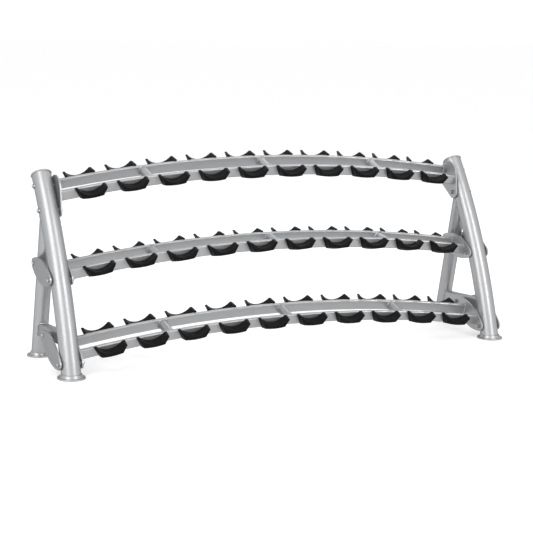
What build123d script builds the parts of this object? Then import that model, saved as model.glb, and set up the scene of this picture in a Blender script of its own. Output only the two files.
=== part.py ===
import os
from math import acos, asin, atan2, cos, degrees, hypot, pi, radians, sin, sqrt

from build123d import *

os.makedirs("parts", exist_ok=True)

# X runs along the rack, the user stands at -Y, Z is up and the feet stand on z = 0. Sizes in mm.

# saddles along each tier
pitch = 230.0
saddle_count = 10
saddle_tip = 78.0
saddle_rise = 33.0
saddle_low = 1.0
saddle_depth = 50.0
saddle_foot = 52.0
saddle_foot_drop = 28.0
saddle_lip = 54.0
saddle_lip_drop = 4.0
saddle_belly = 4.0

# tiers: middle of the ladder at mid-length, and how far its front edge tips down
top_forward, top_z, top_tilt = 2.5, 976.8, 18.8
middle_y, middle_z, middle_tilt = 29.0, 582.8, 9.3
bottom_y, bottom_z, bottom_tilt = -130.0, 211.8, 17.8
arch_radius = 7590.0
rail_spread = 61.0
rail_depth = 20.0
rail_height = 56.0
rail_corner = 5.0
rail_wall = 2.5
cross_tube_diameter = 50.0
cross_tube_wall = 3.0
cross_tube_steps = (-3, 0, 3)
seat_gap = 0.3

# end frames
frame_margin = 213.0
front_leg_diameter = 100.0
front_leg_wall = 4.0
front_foot_y = -251.5
front_leg_top_y, front_leg_top_z = 212.0, 958.0
front_leg_bend = 2900.0
rear_leg_diameter = 80.0
rear_leg_wall = 4.0
rear_foot_y = 260.5
rear_leg_top_y, rear_leg_top_z = 100.5, 800.0
brace_height = 64.0
brace_width = 50.0
brace_wall = 4.0
brace_rear_z, brace_front_z = 152.0, 181.0

# feet and caps
front_foot_reach = 21.0
rear_foot_reach = 22.0
foot_plate = 9.0
foot_collar = 14.0
foot_flare = 9.0
foot_lip = 3.0
foot_run = 60.0
cap_rim = 4.0
cap_thickness = 7.0

# bolted plates and fasteners
plate_thickness = 8.0
sleeve_diameter = 26.0
sleeve_stand = 4.0
bolt_diameter = 12.0
bolt_clearance = 1.0
bolt_head = 22.0
bolt_head_height = 8.0
nut_flats = 19.0
nut_height = 10.0
bolt_tail = 3.0
leaf_half = 62.0
leaf_end = 28.0
tear_low = 36.0
tear_margin = 4.0
top_bolt_drop, top_bolt_rise = 92.0, 23.0
middle_bolt_drop, middle_bolt_rise = 23.5, 22.5
bottom_bolt_drop, bottom_bolt_back = 49.5, 136.5

sides = {"left": -1, "right": 1}
frame_x = (saddle_count - 1) / 2 * pitch + frame_margin
sleeve_half = front_leg_diameter / 2 + sleeve_stand
flange_outer = frame_x - sleeve_half
flange_inner = flange_outer - plate_thickness
plate_inner = frame_x + sleeve_half
plate_outer = plate_inner + plate_thickness
hole = bolt_diameter + bolt_clearance
end_drop = arch_radius * (1 - cos(asin(flange_inner / arch_radius)))


def save(piece, node):
    piece.label = node
    export_step(piece, "parts/" + node + ".step")


def leg_centre():
    """Centre of the front leg's bow, in the plane of the end frame."""
    across, rise = front_leg_top_y - front_foot_y, front_leg_top_z
    chord = hypot(across, rise)
    reach = sqrt(front_leg_bend**2 - chord**2 / 4)
    return (
        (front_foot_y + front_leg_top_y) / 2 + reach * rise / chord,
        rise / 2 - reach * across / chord,
    )


leg_cy, leg_cz = leg_centre()


def front_leg_y(z):
    return leg_cy - sqrt(front_leg_bend**2 - (z - leg_cz) ** 2)


def rear_leg_y(z):
    return rear_foot_y + (rear_leg_top_y - rear_foot_y) * z / rear_leg_top_z


top_y = front_leg_y(top_z - end_drop) - top_forward
tiers = {
    "top": (top_y, top_z, top_tilt),
    "middle": (middle_y, middle_z, middle_tilt),
    "bottom": (bottom_y, bottom_z, bottom_tilt),
}


def frame_plane(x):
    return Plane(origin=(x, 0, 0), x_dir=(0, 1, 0), z_dir=(1, 0, 0))


def station_plane(tier, s):
    """Plane across a tier at arc length s: local x to the rear, local y up."""
    y, z, _ = tiers[tier]
    turn = s / arch_radius
    return Plane(
        origin=(arch_radius * sin(turn), y, z - arch_radius * (1 - cos(turn))),
        x_dir=(0, 1, 0),
        z_dir=(cos(turn), 0, -sin(turn)),
    )


def tier_point(tier, n, v):
    """Point n behind and v above the ladder's middle, on a plane across the tier."""
    tilt = radians(tiers[tier][2])
    return (n * cos(tilt) - v * sin(tilt), n * sin(tilt) + v * cos(tilt))


def facing_plane(tier, s, n, side):
    """Plane at distance n from the ladder's middle that looks out of its front (-1) or rear (1)."""
    at = station_plane(tier, s)
    tilt = radians(tiers[tier][2])
    out = (at.x_dir * cos(tilt) + at.y_dir * sin(tilt)) * side
    spot = tier_point(tier, n * side, 0)
    origin = at.origin + at.x_dir * spot[0] + at.y_dir * spot[1]
    return Plane(origin=origin, x_dir=at.z_dir * -side, z_dir=out)


def tier_end(tier):
    y, z, _ = tiers[tier]
    return y, z - end_drop


def brace_z(y):
    run = rear_leg_y(brace_rear_z) - front_leg_y(brace_front_z)
    return brace_rear_z + (rear_leg_y(brace_rear_z) - y) * (brace_front_z - brace_rear_z) / run


def on_front_leg(tier, rise):
    """Place on the front leg's axis, that far above the tier's end."""
    z = tier_end(tier)[1] + rise
    return front_leg_y(z), z


middle_rear_bolt_z = tier_end("middle")[1] + middle_bolt_rise
bottom_rear_bolt_y = bottom_y + bottom_bolt_back
bolts = {
    "top": [on_front_leg("top", -top_bolt_drop), on_front_leg("top", top_bolt_rise)],
    "middle": [
        on_front_leg("middle", -middle_bolt_drop),
        (rear_leg_y(middle_rear_bolt_z), middle_rear_bolt_z),
    ],
    "bottom": [
        on_front_leg("bottom", -bottom_bolt_drop),
        (bottom_rear_bolt_y, brace_z(bottom_rear_bolt_y)),
    ],
}
all_bolts = bolts["top"] + bolts["middle"] + bolts["bottom"]


def leg_along(z):
    """Direction of the front leg at height z, pointing up."""
    return (0, (z - leg_cz) / front_leg_bend, (leg_cy - front_leg_y(z)) / front_leg_bend)


def front_leg_bar(x, diameter):
    """Bowed round bar along the front leg, begun below the floor."""
    heights = (-foot_run, (front_leg_top_z - foot_run) / 2, front_leg_top_z)
    spots = [(x, front_leg_y(z), z) for z in heights]
    with BuildPart() as bar:
        with BuildLine() as bow:
            ThreePointArc(*spots)
        with BuildSketch(Plane(origin=spots[0], x_dir=(1, 0, 0), z_dir=leg_along(-foot_run))):
            Circle(diameter / 2)
        sweep(path=bow.wires()[0])
    return bar.part


def rear_leg_bar(x, diameter):
    """Straight round bar from below the floor to the middle of the front leg."""
    start = (x, rear_leg_y(-foot_run), -foot_run)
    lean = (0, rear_leg_top_y - start[1], rear_leg_top_z + foot_run)
    with BuildPart() as bar:
        with BuildSketch(Plane(origin=start, x_dir=(1, 0, 0), z_dir=lean)):
            Circle(diameter / 2)
        extrude(amount=hypot(lean[1], lean[2]))
    return bar.part


def cross_bars(x, places, diameter, half):
    """Round bars across an end frame at the given places."""
    with BuildPart() as bars:
        with BuildSketch(frame_plane(x - half)):
            with Locations(*places):
                Circle(diameter / 2)
        extrude(amount=2 * half)
    return bars.part


def leaf_outline(front, rear):
    """Leaf with round ends about two bolts."""
    length = hypot(rear[0] - front[0], rear[1] - front[1])
    bulge = leaf_half - leaf_end
    drop = (length**2 / 4 - bulge**2) / (2 * bulge)
    reach = leaf_half + drop - leaf_end
    tx, ty = -leaf_end * length / 2 / reach, leaf_end * drop / reach
    with BuildSketch() as leaf:
        with BuildLine():
            ThreePointArc((tx, ty), (length / 2, leaf_half), (length - tx, ty))
            ThreePointArc((length - tx, ty), (length + leaf_end, 0), (length - tx, -ty))
            ThreePointArc((length - tx, -ty), (length / 2, -leaf_half), (tx, -ty))
            ThreePointArc((tx, -ty), (-leaf_end, 0), (tx, ty))
        make_face()
        with Locations((0, 0), (length, 0)):
            Circle(hole / 2, mode=Mode.SUBTRACT)
    turn = degrees(atan2(rear[1] - front[1], rear[0] - front[0]))
    return Pos(front[0], front[1]) * Rot(0, 0, turn) * leaf.sketch


def tear_outline(tier):
    """Tear: round about the tier's end, narrowing to the lower bolt."""
    big = hypot(rail_spread + rail_depth / 2, rail_height / 2) + tear_margin
    cy, cz = tier_end(tier)
    low_y, low_z = bolts[tier][0]
    apart = hypot(low_y - cy, low_z - cz)
    heading = atan2(low_z - cz, low_y - cy)
    open_angle = acos((big - tear_low) / apart)

    def rim(y, z, r, angle):
        return (y + r * cos(heading + angle), z + r * sin(heading + angle))

    with BuildSketch() as tear:
        with BuildLine():
            ThreePointArc(rim(cy, cz, big, open_angle), rim(cy, cz, big, pi), rim(cy, cz, big, -open_angle))
            Line(rim(cy, cz, big, -open_angle), rim(low_y, low_z, tear_low, -open_angle))
            ThreePointArc(rim(low_y, low_z, tear_low, -open_angle), rim(low_y, low_z, tear_low, 0),
                          rim(low_y, low_z, tear_low, open_angle))
            Line(rim(low_y, low_z, tear_low, open_angle), rim(cy, cz, big, open_angle))
        make_face()
        with Locations(*bolts[tier]):
            Circle(hole / 2, mode=Mode.SUBTRACT)
    return tear.sketch


# rails, cross tubes and saddles of each tier
for tier, (tier_y, tier_z, tilt) in tiers.items():
    end_angle = asin(flange_inner / arch_radius) + 0.004
    arch_axis = Axis((0, 0, tier_z - arch_radius), (0, 1, 0))
    for row, side in (("front", -1), ("rear", 1)):
        with BuildPart() as rail:
            with BuildSketch(station_plane(tier, -end_angle * arch_radius)):
                with Locations(tier_point(tier, side * rail_spread, 0)):
                    RectangleRounded(rail_depth, rail_height, rail_corner, rotation=tilt)
                    RectangleRounded(rail_depth - 2 * rail_wall, rail_height - 2 * rail_wall,
                                     rail_corner - rail_wall, rotation=tilt, mode=Mode.SUBTRACT)
            revolve(axis=arch_axis, revolution_arc=2 * degrees(end_angle))
            with Locations((0, tier_y, tier_z)):
                Box(2 * flange_inner, 600, 1200, mode=Mode.INTERSECT)
        save(rail.part, tier + "_" + row + "_rail")

        with BuildPart() as saddles:
            for j in range(saddle_count):
                s = (j - (saddle_count - 1) / 2) * pitch
                base = facing_plane(tier, s, rail_spread + rail_depth / 2 + seat_gap, side)
                for plane, foot, drop in ((base, saddle_foot, saddle_foot_drop),
                                          (base.offset(saddle_depth), saddle_lip, saddle_lip_drop)):
                    with BuildSketch(plane):
                        with BuildLine():
                            ThreePointArc((-saddle_tip, saddle_rise), (0, saddle_low),
                                          (saddle_tip, saddle_rise))
                            Line((saddle_tip, saddle_rise), (foot, -drop))
                            ThreePointArc((foot, -drop), (0, -drop - saddle_belly), (-foot, -drop))
                            Line((-foot, -drop), (-saddle_tip, saddle_rise))
                        make_face()
                loft(ruled=True)
        save(saddles.part, tier + "_" + row + "_saddles")

    with BuildPart() as cross_tubes:
        for step in cross_tube_steps:
            with BuildSketch(facing_plane(tier, step * pitch, seat_gap + rail_depth / 2 - rail_spread, 1)):
                Circle(cross_tube_diameter / 2)
                Circle(cross_tube_diameter / 2 - cross_tube_wall, mode=Mode.SUBTRACT)
            extrude(amount=2 * (rail_spread - seat_gap) - rail_depth)
    save(cross_tubes.part, tier + "_cross_tubes")

# end frames
for hand, way in sides.items():
    x = way * frame_x
    leg_bar = front_leg_bar(x, front_leg_diameter)
    rear_bar = rear_leg_bar(x, rear_leg_diameter)
    sleeve_bars = cross_bars(x, all_bolts, sleeve_diameter, sleeve_half)

    with BuildPart() as front_leg:
        add(leg_bar)
        add(front_leg_bar(x, front_leg_diameter - 2 * front_leg_wall), mode=Mode.SUBTRACT)
        add(sleeve_bars, mode=Mode.SUBTRACT)
        with Locations((x, 0, foot_plate - foot_run)):
            Box(4 * foot_run, 2000, 2 * foot_run, mode=Mode.SUBTRACT)
    save(front_leg.part, hand + "_front_leg")

    with BuildPart() as rear_leg:
        add(rear_bar)
        add(rear_leg_bar(x, rear_leg_diameter - 2 * rear_leg_wall), mode=Mode.SUBTRACT)
        add(leg_bar, mode=Mode.SUBTRACT)
        add(sleeve_bars, mode=Mode.SUBTRACT)
        with Locations((x, 0, foot_plate - foot_run)):
            Box(4 * foot_run, 2000, 2 * foot_run, mode=Mode.SUBTRACT)
    save(rear_leg.part, hand + "_rear_leg")

    brace_from = (rear_leg_y(brace_rear_z), brace_rear_z)
    brace_to = (front_leg_y(brace_front_z), brace_front_z)
    along = (0, brace_to[0] - brace_from[0], brace_to[1] - brace_from[1])
    with BuildPart() as brace:
        with BuildSketch(Plane(origin=(x, *brace_from), x_dir=(1, 0, 0), z_dir=along)):
            RectangleRounded(brace_width, brace_height, brace_wall + 2)
            RectangleRounded(brace_width - 2 * brace_wall, brace_height - 2 * brace_wall, 2,
                             mode=Mode.SUBTRACT)
        extrude(amount=hypot(along[1], along[2]))
        add(leg_bar, mode=Mode.SUBTRACT)
        add(rear_bar, mode=Mode.SUBTRACT)
        add(sleeve_bars, mode=Mode.SUBTRACT)
    save(brace.part, hand + "_brace")

    with BuildPart() as sleeves:
        add(sleeve_bars)
        add(cross_bars(x, all_bolts, hole, sleeve_half), mode=Mode.SUBTRACT)
    save(sleeves.part, hand + "_sleeves")

    with BuildPart() as cap:
        with BuildSketch(Plane(origin=(x, front_leg_top_y, front_leg_top_z), x_dir=(1, 0, 0),
                               z_dir=leg_along(front_leg_top_z))):
            Circle(front_leg_diameter / 2 + cap_rim)
        extrude(amount=cap_thickness)
        fillet(cap.edges().filter_by(GeomType.CIRCLE), cap_thickness * 0.4)
    save(cap.part, hand + "_leg_cap")

    for leg, foot_y, reach, tube, bar in (
        ("front", front_foot_y, front_foot_reach, front_leg_diameter, leg_bar),
        ("rear", rear_foot_y, rear_foot_reach, rear_leg_diameter, rear_bar),
    ):
        with BuildPart() as plate:
            with Locations((x, foot_y, foot_plate / 2)):
                Cylinder(tube / 2 + reach, foot_plate)
            fillet(plate.edges().filter_by(GeomType.CIRCLE).sort_by(Axis.Z)[-1], foot_plate * 0.5)
        with BuildPart() as foot:
            with Locations((x, foot_y, foot_plate + foot_collar / 2)):
                Cone(tube / 2 + foot_flare, tube / 2 + foot_lip, foot_collar)
            add(bar, mode=Mode.SUBTRACT)
            add(plate.part)
        save(foot.part, hand + "_" + leg + "_foot")

    # plates on both faces of the frame
    inner_x = min(way * flange_inner, way * flange_outer)
    outer_x = min(way * plate_inner, way * plate_outer)
    for tier in tiers:
        outline = tear_outline(tier) if tier == "top" else leaf_outline(*bolts[tier])
        with BuildPart() as flange:
            with BuildSketch(frame_plane(inner_x)):
                add(outline)
            extrude(amount=plate_thickness)
        save(flange.part, tier + "_" + hand + "_flange")
        if tier != "top":
            with BuildPart() as outer_plate:
                with BuildSketch(frame_plane(outer_x)):
                    add(outline)
                extrude(amount=plate_thickness)
            save(outer_plate.part, tier + "_" + hand + "_outer_plate")

    # bolts run from the head outside to the nut inside
    with BuildPart() as frame_bolts:
        for tier in tiers:
            seat = plate_inner if tier == "top" else plate_outer
            tail = flange_inner - nut_height - bolt_tail
            with BuildSketch(frame_plane(min(way * seat, way * tail))):
                with Locations(*bolts[tier]):
                    Circle(bolt_diameter / 2)
            extrude(amount=seat - tail)
            with BuildSketch(frame_plane(way * seat)):
                with Locations(*bolts[tier]):
                    Circle(bolt_head / 2)
            extrude(amount=way * bolt_head_height, taper=12)
    save(frame_bolts.part, hand + "_frame_bolts")

    with BuildPart() as frame_nuts:
        with BuildSketch(frame_plane(min(way * flange_inner, way * (flange_inner - nut_height)))):
            with Locations(*all_bolts):
                RegularPolygon(nut_flats / 2, 6, major_radius=False)
                Circle(bolt_diameter / 2, mode=Mode.SUBTRACT)
        extrude(amount=nut_height)
    save(frame_nuts.part, hand + "_frame_nuts")
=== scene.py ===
import math

import bmesh
import bpy
from mathutils import Matrix, Vector
from mathutils.bvhtree import BVHTree


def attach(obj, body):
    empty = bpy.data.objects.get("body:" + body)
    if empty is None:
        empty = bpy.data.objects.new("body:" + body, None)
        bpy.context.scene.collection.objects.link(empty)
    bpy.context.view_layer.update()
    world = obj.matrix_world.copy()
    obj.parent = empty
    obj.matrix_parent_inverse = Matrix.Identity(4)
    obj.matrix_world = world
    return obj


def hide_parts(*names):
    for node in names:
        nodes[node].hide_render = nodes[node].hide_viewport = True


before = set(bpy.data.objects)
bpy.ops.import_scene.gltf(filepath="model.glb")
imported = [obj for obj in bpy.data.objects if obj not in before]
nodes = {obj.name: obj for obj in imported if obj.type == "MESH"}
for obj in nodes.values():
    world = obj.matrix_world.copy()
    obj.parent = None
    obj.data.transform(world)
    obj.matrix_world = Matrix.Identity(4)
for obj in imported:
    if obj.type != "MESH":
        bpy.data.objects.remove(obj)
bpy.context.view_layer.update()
mmPerMetre = 1000
toMetres = Matrix.Scale(1 / mmPerMetre, 4)
sharpAngle = math.radians(32)  # edges above this stay crisp under smooth shading
quarterTurn = math.pi / 2
white = (1, 1, 1, 1)
tierNames = ("top", "middle", "bottom")
rows = (("front", -1), ("rear", 1))
hands = (("left", -1), ("right", 1))
print("frame loaded:", len(nodes), "nodes")


def hexColour(code):  # sRGB hex to linear
    channels = [int(code[i:i + 2], 16) / 255 for i in (1, 3, 5)]
    linear = [c / 12.92 if c <= 0.04045 else ((c + 0.055) / 1.055) ** 2.4 for c in channels]
    return (*linear, 1.0)


def addNode(tree, kind, inputs=None, **settings):  # links sockets, sets the rest; Mix colours are 6 and 7
    node = tree.nodes.new(kind)
    for key, value in settings.items():
        setattr(node, key, value)
    for key, value in (inputs or {}).items():
        if isinstance(value, bpy.types.NodeSocket):
            tree.links.new(value, node.inputs[key])
        else:
            node.inputs[key].default_value = value
    return node


def newMaterial(name):
    mat = bpy.data.materials.new(name)
    mat.use_nodes = True
    mat.node_tree.nodes.clear()
    return mat, mat.node_tree


def newPiece(name, bm, finish, slot, *stands):
    bmesh.ops.recalc_face_normals(bm, faces=bm.faces)
    mesh = bpy.data.meshes.new(name)
    bm.to_mesh(mesh)
    bm.free()
    mesh.shade_smooth()
    mesh.set_sharp_from_angle(angle=sharpAngle)
    mesh.materials.append(finish)
    piece = bpy.data.objects.new(name, mesh)
    bpy.context.scene.collection.objects.link(piece)
    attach(piece, "root")
    if stands:
        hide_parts(*stands)


# satin metallic powder coat over welded steel: silver flake that darkens at grazing angles (flop), faint
# orange peel, a little duller in clouds where hands and dust reach it; the flake is drawn coarser than it
# is, so that it shows; heights of bump are in metres
silverCoat = {
    "pale": "#B6B7B8", "deep": "#A7A8AA", "flop": "#707070",
    "metallic": 0.7, "gloss": 0.25, "roughness": 0.36, "dull": 0.41,
    "flakeMm": 2.6, "flakeDetail": 3.0, "flakeRough": 0.6,
    "cloudMm": 160.0, "cloudDetail": 4.0, "cloudFrom": 0.35, "cloudTo": 0.7,
    "peelMm": 2.2, "peelDetail": 1.0, "peelStrength": 0.02, "peelHeight": 0.0006}


def makeSilverCoat():
    coat = silverCoat
    mat, tree = newMaterial("silverPowderCoat")
    spot = addNode(tree, "ShaderNodeTexCoord").outputs["Object"]
    flake = addNode(tree, "ShaderNodeTexNoise", {
        "Vector": spot, "Scale": mmPerMetre / coat["flakeMm"],
        "Detail": coat["flakeDetail"], "Roughness": coat["flakeRough"]})
    tint = addNode(tree, "ShaderNodeMix", {
        0: flake.outputs["Fac"], 6: hexColour(coat["deep"]), 7: hexColour(coat["pale"])}, data_type="RGBA")
    cloud = addNode(tree, "ShaderNodeTexNoise", {
        "Vector": spot, "Scale": mmPerMetre / coat["cloudMm"], "Detail": coat["cloudDetail"]})
    sheen = addNode(tree, "ShaderNodeMapRange", {
        0: cloud.outputs["Fac"], 1: coat["cloudFrom"], 2: coat["cloudTo"],
        3: coat["roughness"], 4: coat["dull"]})
    peel = addNode(tree, "ShaderNodeTexNoise", {
        "Vector": spot, "Scale": mmPerMetre / coat["peelMm"], "Detail": coat["peelDetail"]})
    bump = addNode(tree, "ShaderNodeBump", {
        "Height": peel.outputs["Fac"], "Strength": coat["peelStrength"], "Distance": coat["peelHeight"]})
    body = addNode(tree, "ShaderNodeBsdfPrincipled", {
        "Base Color": tint.outputs[2], "Metallic": coat["metallic"], "Roughness": sheen.outputs[0],
        "Normal": bump.outputs["Normal"], "Specular Tint": hexColour(coat["flop"]),
        "Specular IOR Level": coat["gloss"]})
    addNode(tree, "ShaderNodeOutputMaterial", {"Surface": body.outputs["BSDF"]})
    return mat


# black urethane, cast with a matte grain, drawn coarser than it is so that it shows, and rubbed a little
# greyer in patches by the dumbbells
blackUrethane = {
    "pale": "#1C1B1B", "deep": "#121212", "rubbed": "#262524", "roughness": 0.55, "specular": 0.06,
    "grainMm": 1.6, "grainDetail": 2.0, "grainStrength": 0.2, "grainHeight": 0.0004,
    "rubMm": 45.0, "rubDetail": 5.0, "rubRough": 0.65, "rubFrom": 0.52, "rubTo": 0.75}


def makeBlackUrethane():
    cast = blackUrethane
    mat, tree = newMaterial("blackUrethane")
    spot = addNode(tree, "ShaderNodeTexCoord").outputs["Object"]
    grain = addNode(tree, "ShaderNodeTexNoise", {
        "Vector": spot, "Scale": mmPerMetre / cast["grainMm"], "Detail": cast["grainDetail"]})
    tint = addNode(tree, "ShaderNodeMix", {
        0: grain.outputs["Fac"], 6: hexColour(cast["deep"]), 7: hexColour(cast["pale"])}, data_type="RGBA")
    rub = addNode(tree, "ShaderNodeTexNoise", {
        "Vector": spot, "Scale": mmPerMetre / cast["rubMm"],
        "Detail": cast["rubDetail"], "Roughness": cast["rubRough"]})
    patch = addNode(tree, "ShaderNodeMapRange", {
        0: rub.outputs["Fac"], 1: cast["rubFrom"], 2: cast["rubTo"]})
    worn = addNode(tree, "ShaderNodeMix", {
        0: patch.outputs[0], 6: tint.outputs[2], 7: hexColour(cast["rubbed"])}, data_type="RGBA")
    bump = addNode(tree, "ShaderNodeBump", {
        "Height": grain.outputs["Fac"], "Strength": cast["grainStrength"], "Distance": cast["grainHeight"]})
    body = addNode(tree, "ShaderNodeBsdfPrincipled", {
        "Base Color": worn.outputs[2], "Roughness": cast["roughness"],
        "Specular IOR Level": cast["specular"], "Normal": bump.outputs["Normal"]})
    addNode(tree, "ShaderNodeOutputMaterial", {"Surface": body.outputs["BSDF"]})
    return mat


# zinc plate on turned steel, gone a satin grey with a fine mottle, drawn coarser than it is
zincPlate = {"pale": "#B2B4B6", "deep": "#989A9D", "roughness": 0.32, "mottleMm": 0.9, "mottleDetail": 2.0}


def makeZincPlate():
    plate = zincPlate
    mat, tree = newMaterial("zincPlatedSteel")
    spot = addNode(tree, "ShaderNodeTexCoord").outputs["Object"]
    mottle = addNode(tree, "ShaderNodeTexNoise", {
        "Vector": spot, "Scale": mmPerMetre / plate["mottleMm"], "Detail": plate["mottleDetail"]})
    tint = addNode(tree, "ShaderNodeMix", {
        0: mottle.outputs["Fac"], 6: hexColour(plate["deep"]), 7: hexColour(plate["pale"])}, data_type="RGBA")
    body = addNode(tree, "ShaderNodeBsdfPrincipled", {
        "Base Color": tint.outputs[2], "Metallic": 1.0, "Roughness": plate["roughness"]})
    addNode(tree, "ShaderNodeOutputMaterial", {"Surface": body.outputs["BSDF"]})
    return mat


silver = makeSilverCoat()
black = makeBlackUrethane()
zinc = makeZincPlate()
for name, node in nodes.items():
    finish = black if "saddles" in name else zinc if "bolts" in name or "nuts" in name else silver
    node.data.materials.clear()
    node.data.materials.append(finish)
print("finishes on the nodes")

# the three ladders in mm: each one's middle (y, z) and the degrees by which its front edge tips down, then
# what they share; tubeSteps are the cross tubes' places in pitches
ladder = {
    "top": (156.43, 976.8, 18.8), "middle": (29.0, 582.8, 9.3), "bottom": (-130.0, 211.8, 17.8),
    "arch": 7590.0, "pitch": 230.0, "count": 10, "saddleSeat": 71.3, "end": 1186.0,
    "railMiddle": 61.0, "railDeep": 20.0, "railTall": 56.0, "railCorner": 5.0,
    "tubeRadius": 25.0, "tubeSeat": 50.6, "tubeSteps": (-3, 0, 3)}


def ladderPlace(tier, s, n):  # at arc length s, n behind the middle: x along the rail, y to the rear, z up
    y, z, tilt = ladder[tier]
    arch = ladder["arch"]
    turn, tip = s / arch, math.radians(tilt)
    middle = Matrix.Translation((arch * math.sin(turn), y, z - arch * (1 - math.cos(turn))))
    tipped = middle @ Matrix.Rotation(turn, 4, "Y") @ Matrix.Rotation(tip, 4, "X")
    return tipped @ Matrix.Translation((0, n, 0))


# one saddle in mm: cradle between two blunt ridges, sloping underside with a rounded belly; tipFront,
# cradleFront, lip and lipDrop are at the face away from the rail, and edgeAngle is in radians
saddleForm = {
    "tip": 86.0, "tipFront": 80.0, "cradle": 71.0, "cradleFront": 67.5,
    "rise": 33.5, "shoulder": 2.0, "low": 1.0, "depth": 50.0,
    "foot": 54.0, "footDrop": 31.5, "lip": 58.0, "lipDrop": 10.5, "belly": 5.0,
    "steps": 18, "edge": 2.2, "edgeSteps": 3, "edgeAngle": 0.5}


def makeSaddle():
    form = saddleForm
    sag = form["rise"] - form["low"]
    radius = (form["cradle"] ** 2 + sag ** 2) / (2 * sag)
    stride = 2 / form["steps"]  # of the grid, which is 2 wide; the last one on each side is the ridge
    bm = bmesh.new()
    bmesh.ops.create_grid(bm, x_segments=form["steps"], y_segments=1, size=1.0)
    for v in bm.verts:
        u = v.co.x
        if v.co.y > 0 and abs(u) < 1 - stride / 2:  # cradle
            x = form["cradle"] * u / (1 - stride)
            v.co = (x, 0, form["low"] + radius - math.sqrt(radius ** 2 - x ** 2))
        elif v.co.y > 0:  # outer edge of the ridge
            v.co = (form["tip"] * u, 0, form["rise"] - form["shoulder"])
        else:  # underside
            v.co = (form["foot"] * u, 0, -form["footDrop"] - form["belly"] * (1 - u * u))
    ridgeFrom = (form["cradle"] + form["tip"]) / 2
    grown = bmesh.ops.extrude_face_region(bm, geom=bm.faces[:])["geom"]
    for v in (g for g in grown if isinstance(g, bmesh.types.BMVert)):
        v.co.y = form["depth"]
        if v.co.z < 0:
            v.co.x *= form["lip"] / form["foot"]
            v.co.z += form["footDrop"] - form["lipDrop"]
        elif abs(v.co.x) > ridgeFrom:
            v.co.x *= form["tipFront"] / form["tip"]
        else:
            v.co.x *= form["cradleFront"] / form["cradle"]
    bmesh.ops.recalc_face_normals(bm, faces=bm.faces)
    free = [e for e in bm.edges if max(v.co.y for v in e.verts) > 0]  # not against the rail
    sharp = [e for e in free if e.calc_face_angle() > form["edgeAngle"]]
    bmesh.ops.bevel(bm, geom=sharp, offset=form["edge"], offset_type="WIDTH", segments=form["edgeSteps"],
                    profile=0.5, affect="EDGES", clamp_overlap=True, material=-1)
    mesh = bpy.data.meshes.new("saddle")
    bm.to_mesh(mesh)
    bm.free()
    return mesh


def makeSaddleRows():
    saddle = makeSaddle()
    middle = (ladder["count"] - 1) / 2
    for tier in tierNames:
        for row, side in rows:
            bm = bmesh.new()
            for j in range(ladder["count"]):
                first = len(bm.verts)
                bm.from_mesh(saddle)
                bm.verts.ensure_lookup_table()
                place = ladderPlace(tier, (j - middle) * ladder["pitch"], side * ladder["saddleSeat"])
                if side < 0:
                    place = place @ Matrix.Rotation(math.pi, 4, "Z")
                bmesh.ops.transform(bm, matrix=toMetres @ place, verts=bm.verts[first:])
            rail = tier + "_" + row
            newPiece(rail + "_moulded_saddles", bm, black, "black_moulding", rail + "_saddles")
    bpy.data.meshes.remove(saddle)


makeSaddleRows()
print("saddles moulded")

# fasteners in mm: bolt places (y, z), seats along x, then head and nut as stacks of rings (radius or half
# the flats, height, flats) turned up from the seat; the tail is how far the shank runs past the nut's seat
fastener = {
    "places": {"top": ((98.05, 791.57), (174.95, 906.57)), "middle": ((-80.43, 466.07), (158.09, 512.07)),
               "bottom": ((-231.75, 69.07), (6.5, 167.23))},
    "headSeat": {"top": 1302.0, "middle": 1310.0, "bottom": 1310.0}, "nutSeat": 1186.0, "sides": 24,
    "head": ((10.9, 0, 0), (10.9, 1.1, 0), (10.5, 1.6, 0), (9.4, 1.6, 0), (9.4, 3.0, 0), (9.0, 4.8, 0),
             (7.9, 6.5, 0), (6.3, 7.6, 0), (4.9, 7.9, 0), (4.0, 7.8, 6), (3.9, 4.2, 6)),
    "shankRadius": 5.9, "tail": 13.0, "point": 1.0, "pointRadius": 5.1,
    "nut": ((10.8, 0, 0), (10.8, 1.1, 0), (10.4, 1.5, 0), (9.4, 1.5, 6), (9.4, 8.8, 6), (9.3, 9.8, 0),
            (6.7, 9.8, 0), (6.0, 9.0, 0))}


def turnRings(bm, rings, place):
    made = bmesh.ops.create_circle(bm, cap_ends=True, radius=1.0, segments=fastener["sides"])["verts"]
    every, cap = list(made), made[0].link_faces[0]
    for step, (radius, height, flats) in enumerate(rings):
        if step:
            grown = bmesh.ops.extrude_face_region(bm, geom=[cap])["geom"]
            made = [g for g in grown if isinstance(g, bmesh.types.BMVert)]
            cap = [g for g in grown if isinstance(g, bmesh.types.BMFace)][0]
            every += made
        for v in made:
            turn = math.atan2(v.co.y, v.co.x)
            wedge = 2 * math.pi / flats if flats else 0
            reach = radius / math.cos(turn % wedge - wedge / 2) if flats else radius
            v.co = (reach * math.cos(turn), reach * math.sin(turn), height)
    bmesh.ops.transform(bm, matrix=toMetres @ place, verts=every)


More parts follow.
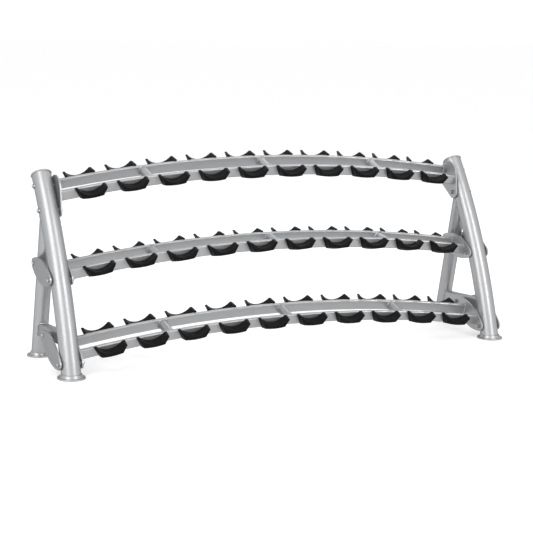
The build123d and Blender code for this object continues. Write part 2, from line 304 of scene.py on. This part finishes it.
def makeFasteners():
    nutSeat, radius = fastener["nutSeat"], fastener["shankRadius"]
    for hand, way in hands:
        outward = Matrix.Rotation(way * quarterTurn, 4, "Y")
        inward = Matrix.Rotation(-way * quarterTurn, 4, "Y")
        bolts, nuts = bmesh.new(), bmesh.new()
        for tier, places in fastener["places"].items():
            seat = fastener["headSeat"][tier]
            end = nutSeat - fastener["tail"] - seat
            shank = ((radius, 0, 0), (radius, end + fastener["point"], 0), (fastener["pointRadius"], end, 0))
            for y, z in places:
                place = Matrix.Translation((way * seat, y, z)) @ outward
                turnRings(bolts, fastener["head"], place)
                turnRings(bolts, shank, place)
                turnRings(nuts, fastener["nut"], Matrix.Translation((way * nutSeat, y, z)) @ inward)
        newPiece(hand + "_button_bolts", bolts, zinc, "zinc", hand + "_frame_bolts")
        newPiece(hand + "_hex_nuts", nuts, zinc, "zinc", hand + "_frame_nuts")


makeFasteners()
print("bolts and nuts turned")

# weld beads in mm, coated with the tube; rear leg and brace ends are (y, z) in an end frame, and a rail's
# bead is cast on to its flange from castFrom short of the rail's end
weldBead = {
    "radius": 4.4, "ripple": 0.14, "step": 3.0, "roundness": 1, "merge": 0.02, "castFrom": 30.0,
    "rearRadius": 40.0, "rearFoot": (260.5, 0.0), "rearTop": (100.5, 800.0), "rearStart": 560.0,
    "braceRear": (230.1, 152.0), "braceFront": (-195.76, 181.0), "braceWide": 50.0, "braceTall": 64.0,
    "braceCorner": 6.0, "cornerSteps": 3, "frameX": 1248.0}


def ringOutline(radius):
    count = 2 * round(math.pi * radius / weldBead["step"])  # even, so that the ripple closes
    turns = [2 * math.pi * i / count for i in range(count)]
    return [Vector((radius * math.cos(turn), radius * math.sin(turn), 0)) for turn in turns]


def boxOutline(wide, tall, corner):
    bm = bmesh.new()
    bmesh.ops.create_grid(bm, x_segments=1, y_segments=1, size=0.5)
    bmesh.ops.scale(bm, vec=(wide, tall, 1), verts=bm.verts)
    bmesh.ops.bevel(bm, geom=bm.verts[:], offset=corner, segments=weldBead["cornerSteps"], profile=0.5,
                    affect="VERTICES", material=-1)
    for edge in bm.edges[:]:
        cuts = int(edge.calc_length() / weldBead["step"])
        if cuts:
            bmesh.ops.subdivide_edges(bm, edges=[edge], cuts=cuts)
    outline = [v.co.copy() for v in bm.faces[:][0].verts]
    bm.free()
    return outline


def beadPiece(name, loops):
    data = bpy.data.curves.new(name, "CURVE")
    data.dimensions = "3D"
    data.bevel_depth = weldBead["radius"] / mmPerMetre
    data.bevel_resolution = weldBead["roundness"]
    for loop in loops:
        spline = data.splines.new("POLY")
        spline.points.add(len(loop) - 1)
        spline.use_cyclic_u = True
        for i, spot in enumerate(loop):
            spline.points[i].co = (*spot, 1)
            spline.points[i].radius = 1 + weldBead["ripple"] * (-1) ** i
    holder = bpy.data.objects.new(name + "_path", data)
    mesh = bpy.data.meshes.new_from_object(holder)
    bm = bmesh.new()
    bm.from_mesh(mesh)
    bmesh.ops.remove_doubles(bm, verts=bm.verts, dist=weldBead["merge"] / mmPerMetre)
    bpy.data.objects.remove(holder)
    bpy.data.curves.remove(data)
    bpy.data.meshes.remove(mesh)
    newPiece(name, bm, silver, "silver_coat")


def castLoop(outline, place, target):  # outline's own z runs on to the target's surface
    bm = bmesh.new()
    bm.from_mesh(nodes[target].data)
    surface = BVHTree.FromBMesh(bm)
    bm.free()
    place = toMetres @ place
    ahead = place.to_3x3() @ Vector((0, 0, 1))
    hits = [surface.ray_cast(place @ spot, ahead.normalized())[0] for spot in outline]
    return [hit for hit in hits if hit]


def facing(start, end, x):  # place at start in an end frame, z pointing at end
    across = Vector((1, 0, 0))
    ahead = Vector((0, end[0] - start[0], end[1] - start[1])).normalized()
    axes = Matrix((across, ahead.cross(across), ahead)).transposed().to_4x4()
    return Matrix.Translation((x, *start)) @ axes


def makeTierWelds():
    tubeRing = ringOutline(ladder["tubeRadius"])
    railBox = boxOutline(ladder["railDeep"], ladder["railTall"], ladder["railCorner"])
    castFrom = ladder["arch"] * math.asin((ladder["end"] - weldBead["castFrom"]) / ladder["arch"])
    for tier in tierNames:
        loops = []
        for step in ladder["tubeSteps"]:
            for row, side in rows:
                place = toMetres @ ladderPlace(tier, step * ladder["pitch"], side * ladder["tubeSeat"])
                loops.append([place @ Vector((spot.x, 0, spot.y)) for spot in tubeRing])
        for hand, way in hands:
            outward = Matrix.Rotation(way * quarterTurn, 4, "Y") @ Matrix.Rotation(quarterTurn, 4, "Z")
            for row, side in rows:
                place = ladderPlace(tier, way * castFrom, side * ladder["railMiddle"]) @ outward
                loops.append(castLoop(railBox, place, tier + "_" + hand + "_flange"))
        beadPiece(tier + "_welds", loops)


def makeFrameWelds():
    bead = weldBead
    legRing = ringOutline(bead["rearRadius"])
    braceBox = boxOutline(bead["braceWide"], bead["braceTall"], bead["braceCorner"])
    share = bead["rearStart"] / bead["rearTop"][1]
    rearStart = tuple(a + (b - a) * share for a, b in zip(bead["rearFoot"], bead["rearTop"]))
    braceStart = tuple((a + b) / 2 for a, b in zip(bead["braceRear"], bead["braceFront"]))
    for hand, way in hands:
        x = way * bead["frameX"]
        beadPiece(hand + "_frame_welds", [
            castLoop(legRing, facing(rearStart, bead["rearTop"], x), hand + "_front_leg"),
            castLoop(braceBox, facing(braceStart, bead["braceFront"], x), hand + "_front_leg"),
            castLoop(braceBox, facing(braceStart, bead["braceRear"], x), hand + "_rear_leg")])


makeTierWelds()
makeFrameWelds()
print("welds laid")

# camera of the photograph, square frame: place and clipEnd in metres, angles in degrees, the rest in mm
photoCamera = {"place": (-3.7128, -7.2583, 1.945), "yaw": 26.753, "down": 10.442, "roll": 1.389,
               "lens": 103.51, "sensor": 36.0, "clipEnd": 100}


def setCamera():
    yaw, down, roll = (math.radians(photoCamera[k]) for k in ("yaw", "down", "roll"))
    ahead = Vector((math.sin(yaw) * math.cos(down), math.cos(yaw) * math.cos(down), -math.sin(down)))
    level = Vector((math.cos(yaw), -math.sin(yaw), 0))
    upright = level.cross(ahead)
    right = level * math.cos(roll) + upright * math.sin(roll)
    up = upright * math.cos(roll) - level * math.sin(roll)
    data = bpy.data.cameras.new("photoCamera")
    data.lens, data.sensor_fit = photoCamera["lens"], "HORIZONTAL"
    data.sensor_width = data.sensor_height = photoCamera["sensor"]
    data.clip_end = photoCamera["clipEnd"]
    camera = bpy.data.objects.new("photoCamera", data)
    axes = Matrix((right, up, -ahead)).transposed().to_4x4()
    camera.matrix_world = Matrix.Translation(photoCamera["place"]) @ axes
    bpy.context.scene.collection.objects.link(camera)
    bpy.context.scene.camera = camera


setCamera()

# white studio: pale floor, and a room whose bright ceiling falls off to dark walls in the light it gives,
# while camera, glossy and transmission rays see plain white; tall soft lamps (name, place, aim, wide,
# tall, watts) give the legs their long highlights
studio = {
    "floor": "#C6C6C6", "floorSize": 40, "floorRoughness": 0.9, "floorGlow": 0.54,
    "walls": 0.04, "ceiling": 0.9, "wallTop": 0.05, "ceilingFrom": 0.8, "background": 1.0,
    "lamps": (("leftLamp", (-6.4, -3.8, 5.0), (0, 0, 0.5), 4.0, 8.0, 312),
              ("rightLamp", (2.4, -7.2, 5.0), (0.2, 0, 0.5), 1.8, 7.0, 268),
              ("backLamp", (3.0, 4.4, 4.4), (0, 0, 0.6), 4.0, 4.0, 90))}


def shownAsBackground(tree):
    path = addNode(tree, "ShaderNodeLightPath")
    seen = path.outputs["Is Camera Ray"]
    for ray in ("Is Glossy Ray", "Is Transmission Ray"):
        either = addNode(tree, "ShaderNodeMath", {0: seen, 1: path.outputs[ray]}, operation="MAXIMUM")
        seen = either.outputs[0]
    return seen


def layFloor():
    mesh = bpy.data.meshes.new("floor")
    bm = bmesh.new()
    bmesh.ops.create_grid(bm, x_segments=1, y_segments=1, size=studio["floorSize"])
    bm.to_mesh(mesh)
    bm.free()
    floor = bpy.data.objects.new("floor", mesh)
    bpy.context.scene.collection.objects.link(floor)
    mat, tree = newMaterial("studioFloor")
    glow = addNode(tree, "ShaderNodeMath", {
        0: shownAsBackground(tree), 1: studio["floorGlow"]}, operation="MULTIPLY")
    pale = addNode(tree, "ShaderNodeBsdfPrincipled", {
        "Base Color": hexColour(studio["floor"]), "Roughness": studio["floorRoughness"],
        "Emission Color": white, "Emission Strength": glow.outputs[0]})
    addNode(tree, "ShaderNodeOutputMaterial", {"Surface": pale.outputs["BSDF"]})
    mesh.materials.append(mat)


def lightRoom():
    world = bpy.data.worlds.new("studio")
    bpy.context.scene.world = world
    world.use_nodes = True
    tree = world.node_tree
    tree.nodes.clear()
    coords = addNode(tree, "ShaderNodeTexCoord")
    look = addNode(tree, "ShaderNodeSeparateXYZ", {0: coords.outputs["Generated"]})
    room = addNode(tree, "ShaderNodeMapRange", {
        0: look.outputs["Z"], 1: studio["wallTop"], 2: studio["ceilingFrom"],
        3: studio["walls"], 4: studio["ceiling"]}, interpolation_type="SMOOTHSTEP")
    level = addNode(tree, "ShaderNodeMapRange", {
        0: shownAsBackground(tree), 3: room.outputs[0], 4: studio["background"]})
    sky = addNode(tree, "ShaderNodeBackground", {"Color": white, "Strength": level.outputs[0]})
    addNode(tree, "ShaderNodeOutputWorld", {"Surface": sky.outputs[0]})
    for name, place, aim, wide, tall, power in studio["lamps"]:
        data = bpy.data.lights.new(name, "AREA")
        data.shape, data.size, data.size_y, data.energy = "RECTANGLE", wide, tall, power
        lamp = bpy.data.objects.new(name, data)
        lamp.location = place
        lamp.rotation_euler = (Vector(aim) - Vector(place)).to_track_quat("-Z", "Y").to_euler()
        bpy.context.scene.collection.objects.link(lamp)


layFloor()
lightRoom()
bpy.context.scene.view_settings.view_transform = "Standard"
print("camera and studio set")
